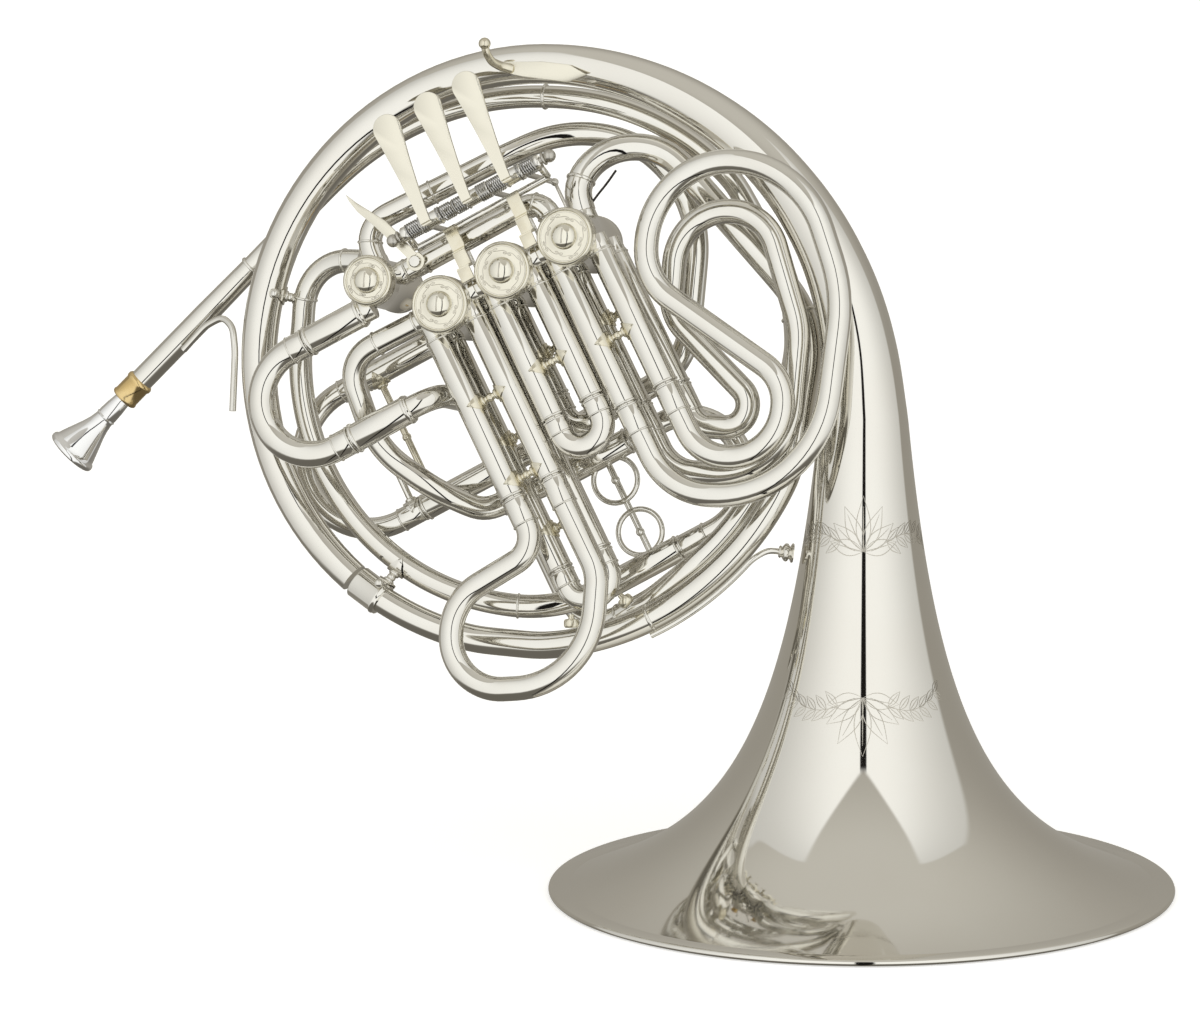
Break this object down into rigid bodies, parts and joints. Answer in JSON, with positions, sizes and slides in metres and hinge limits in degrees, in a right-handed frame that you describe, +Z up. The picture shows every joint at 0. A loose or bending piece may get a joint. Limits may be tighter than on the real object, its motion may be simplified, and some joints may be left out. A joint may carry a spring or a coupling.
{
  "type": "french horn",
  "caption": "Double french horn standing on its bell, with rotary valves, finger levers, pull-out valve and tuning slides and a removable mouthpiece.",
  "frame": {"origin": "centre of the bounding box's bottom, on the surface that the bell's rim stands on", "axes": "+Z up along the bell's axis, +X from the mouthpiece towards the bell, -Y towards the viewer of the valve caps"},
  "size_m": [0.5816, 0.3084, 0.4143],
  "materials": {
    "nickel_silver": "polished nickel silver",
    "cream_plate": "polished plate, warm",
    "brass": "polished",
    "steel": "satin",
    "silver_plate": "polished silver plate"
  },
  "bodies": {
    "horn": {"bb_first_sleeves": "nickel_silver", "bb_second_sleeves": "nickel_silver", "bb_third_sleeves": "nickel_silver", "bb_tuning_sleeves": "nickel_silver", "bell": "nickel_silver", "bell_brace": "nickel_silver", "bell_brace_ferrule": "nickel_silver", "bell_tail": "nickel_silver", "change_bearing_plate": "nickel_silver", "change_casing": "nickel_silver", "change_front_cap": "cream_plate", "change_to_bb_tube": "nickel_silver", "change_to_third_tube": "nickel_silver", "f_first_sleeves": "nickel_silver", "f_inner_ring": "nickel_silver", "f_second_sleeves": "nickel_silver", "f_third_sleeves": "nickel_silver", "f_tuning_sleeves": "nickel_silver", "first_bearing_plate": "nickel_silver", "first_branch": "nickel_silver", "first_casing": "nickel_silver", "first_front_cap": "cream_plate", "first_lever_spring": "steel", "first_to_f_tube": "nickel_silver", "hinge_rod": "steel", "leadpipe": "nickel_silver", "leadpipe_brace": "nickel_silver", "lever_bracket": "nickel_silver", "main_ferrule": "nickel_silver", "main_tuning_lower_sleeve": "nickel_silver", "main_tuning_upper_sleeve": "nickel_silver", "pinky_hook": "nickel_silver", "receiver": "brass", "second_bearing_plate": "nickel_silver", "second_casing": "nickel_silver", "second_front_cap": "cream_plate", "second_lever_spring": "steel", "third_bearing_plate": "nickel_silver", "third_casing": "nickel_silver", "third_front_cap": "cream_plate", "third_lever_spring": "steel", "thumb_lever_pivot": "nickel_silver"},
    "f_first_crook": {"f_first_slide": "nickel_silver"},
    "f_second_crook": {"f_second_slide": "nickel_silver"},
    "f_third_crook": {"f_third_slide": "nickel_silver"},
    "bb_first_crook": {"bb_first_slide": "nickel_silver"},
    "bb_second_crook": {"bb_second_slide": "nickel_silver"},
    "bb_third_crook": {"bb_third_slide": "nickel_silver"},
    "main_crook": {"main_tuning_slide": "nickel_silver"},
    "f_tuning_crook": {"f_tuning_slide": "nickel_silver"},
    "bb_tuning_crook": {"bb_tuning_slide": "nickel_silver"},
    "mouthpiece_piece": {"mouthpiece": "silver_plate"},
    "first_key": {"first_lever": "cream_plate"},
    "second_key": {"second_lever": "cream_plate"},
    "third_key": {"third_lever": "cream_plate"},
    "thumb_key": {"thumb_lever": "cream_plate"},
    "first_rotor_body": {"first_rotor": "brass"},
    "second_rotor_body": {"second_rotor": "brass"},
    "third_rotor_body": {"third_rotor": "brass"},
    "change_rotor_body": {"change_rotor": "brass"}
  },
  "joints": [
    {"name": "f_first_crook_pull", "type": "slide", "parent": "horn", "child": "f_first_crook", "axis": [0.515, -0.219, -0.8287], "range_m": [0, 0.03]},
    {"name": "f_second_crook_pull", "type": "slide", "parent": "horn", "child": "f_second_crook", "axis": [0.515, -0.219, -0.8287], "range_m": [0, 0.02]},
    {"name": "f_third_crook_pull", "type": "slide", "parent": "horn", "child": "f_third_crook", "axis": [0.515, -0.219, -0.8287], "range_m": [0, 0.03]},
    {"name": "bb_first_crook_pull", "type": "slide", "parent": "horn", "child": "bb_first_crook", "axis": [0.515, -0.219, -0.8287], "range_m": [0, 0.025]},
    {"name": "bb_second_crook_pull", "type": "slide", "parent": "horn", "child": "bb_second_crook", "axis": [0.515, -0.219, -0.8287], "range_m": [0, 0.02]},
    {"name": "bb_third_crook_pull", "type": "slide", "parent": "horn", "child": "bb_third_crook", "axis": [0.515, -0.219, -0.8287], "range_m": [0, 0.008]},
    {"name": "main_crook_pull", "type": "slide", "parent": "horn", "child": "main_crook", "axis": [-0.8572, -0.1316, -0.498], "range_m": [0, 0.018]},
    {"name": "f_tuning_crook_pull", "type": "slide", "parent": "horn", "child": "f_tuning_crook", "axis": [0.8572, 0.1316, 0.498], "range_m": [0, 0.011]},
    {"name": "bb_tuning_crook_pull", "type": "slide", "parent": "horn", "child": "bb_tuning_crook", "axis": [-0.8572, -0.1316, -0.498], "range_m": [0, 0.02]},
    {"name": "mouthpiece_piece_pull", "type": "slide", "parent": "horn", "child": "mouthpiece_piece", "axis": [-0.6649, -0.1908, -0.7221], "range_m": [0, 0.025]},
    {"name": "first_lever_press", "type": "hinge", "parent": "horn", "child": "first_key", "pos_m": [-0.08202, -0.01454, 0.32806], "axis": [-0.8572, -0.1316, -0.498], "range_deg": [0, 12], "stiffness_Nm_per_rad": 0.35, "springref_deg": -17.19},
    {"name": "second_lever_press", "type": "hinge", "parent": "horn", "child": "second_key", "pos_m": [-0.06187, -0.01145, 0.33976], "axis": [-0.8572, -0.1316, -0.498], "range_deg": [0, 12], "stiffness_Nm_per_rad": 0.35, "springref_deg": -17.19},
    {"name": "third_lever_press", "type": "hinge", "parent": "horn", "child": "third_key", "pos_m": [-0.04259, -0.00849, 0.35096], "axis": [-0.8572, -0.1316, -0.498], "range_deg": [0, 12], "stiffness_Nm_per_rad": 0.35, "springref_deg": -17.19},
    {"name": "thumb_lever_press", "type": "hinge", "parent": "horn", "child": "thumb_key", "pos_m": [-0.09204, -0.01222, 0.30553], "axis": [0, -0.9668, 0.2554], "range_deg": [0, 12], "stiffness_Nm_per_rad": 0.3, "springref_deg": -17.19},
    {"name": "first_rotor_turn", "type": "hinge", "parent": "horn", "child": "first_rotor_body", "pos_m": [-0.0729, 0.00751, 0.27842], "axis": [0, 0.9668, -0.2554], "range_deg": [0, 90]},
    {"name": "second_rotor_turn", "type": "hinge", "parent": "horn", "child": "second_rotor_body", "pos_m": [-0.04204, 0.01225, 0.29635], "axis": [0, 0.9668, -0.2554], "range_deg": [0, 90]},
    {"name": "third_rotor_turn", "type": "hinge", "parent": "horn", "child": "third_rotor_body", "pos_m": [-0.01118, 0.01698, 0.31428], "axis": [0, 0.9668, -0.2554], "range_deg": [-90, 0]},
    {"name": "change_rotor_turn", "type": "hinge", "parent": "horn", "child": "change_rotor_body", "pos_m": [-0.11132, 0.00996, 0.28769], "axis": [0, 0.9668, -0.2554], "range_deg": [0, 90]}
  ],
  "couplings": [
    {"joint": "first_rotor_turn", "follows": "first_lever_press", "ratio": 7.5},
    {"joint": "second_rotor_turn", "follows": "second_lever_press", "ratio": 7.5},
    {"joint": "third_rotor_turn", "follows": "third_lever_press", "ratio": -7.5},
    {"joint": "change_rotor_turn", "follows": "thumb_lever_press", "ratio": 7.5}
  ]
}
